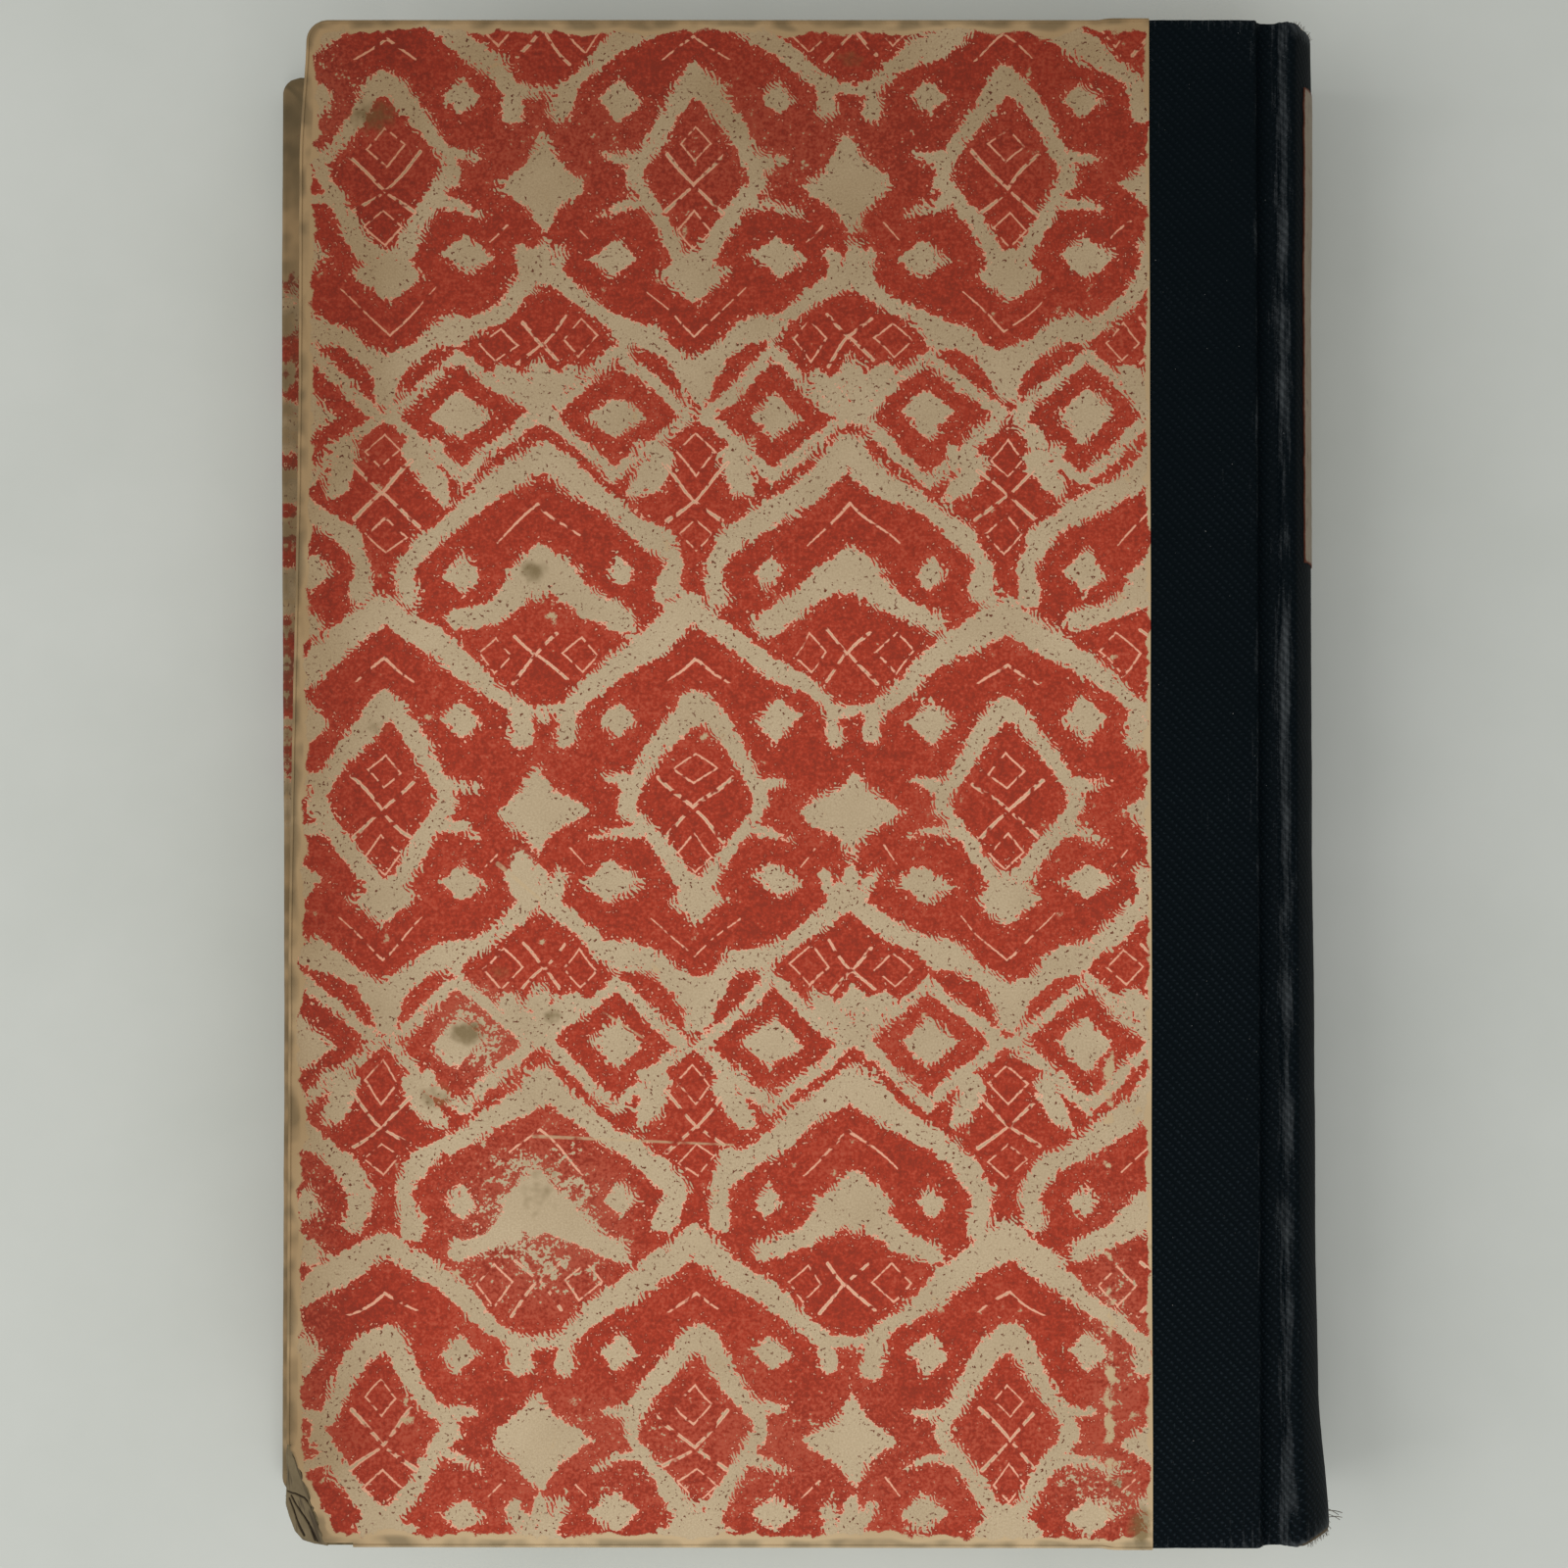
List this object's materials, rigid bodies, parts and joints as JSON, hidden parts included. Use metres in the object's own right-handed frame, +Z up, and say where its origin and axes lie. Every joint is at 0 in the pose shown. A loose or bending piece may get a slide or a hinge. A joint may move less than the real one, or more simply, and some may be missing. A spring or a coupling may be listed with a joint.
{
  "type": "hardback book",
  "caption": "Worn quarter-cloth hardback book lying on its front cover: rounded dark cloth spine with a bare paper label, patterned paper boards, and covers that hinge open.",
  "frame": {"origin": "middle of the book's bounding box, on the surface that it lies on", "axes": "+X from the fore-edge to the spine, +Y from tail to head, +Z up from front cover to back cover"},
  "size_m": [0.1538, 0.2168, 0.0304],
  "materials": {
    "pages": "matte, foxed and toned",
    "board": "matte pulp board",
    "cloth": "matte twill book cloth, rubbed",
    "cover_paper": "matte printed paper, worn",
    "endpaper": "matte",
    "label": "matte, toned",
    "lining": "matte kraft",
    "mull": "open gauze, glued",
    "band": "wound thread"
  },
  "bodies": {
    "book": {"text_block": "pages", "mull": "mull", "spine_lining": "lining", "spine_inlay": "board", "spine_cloth": "cloth", "spine_label": "label", "head_band": "band", "tail_band": "band", "back_flyleaf": "endpaper", "front_flyleaf": "endpaper"},
    "back_cover": {"back_board": "board", "back_cloth_lap": "cloth", "back_cover_paper": "cover_paper", "back_pastedown": "endpaper"},
    "front_cover": {"front_board": "board", "front_cloth_lap": "cloth", "front_cover_paper": "cover_paper", "front_pastedown": "endpaper"}
  },
  "joints": [
    {"name": "back_cover_hinge", "type": "hinge", "parent": "book", "child": "back_cover", "pos_m": [0.06842, 0, 0.0302], "axis": [0, 1, 0], "range_deg": [0, 179]},
    {"name": "front_cover_hinge", "type": "hinge", "parent": "book", "child": "front_cover", "pos_m": [0.06192, 0, 0.0002], "axis": [0, -1, 0], "range_deg": [0, 179]}
  ]
}
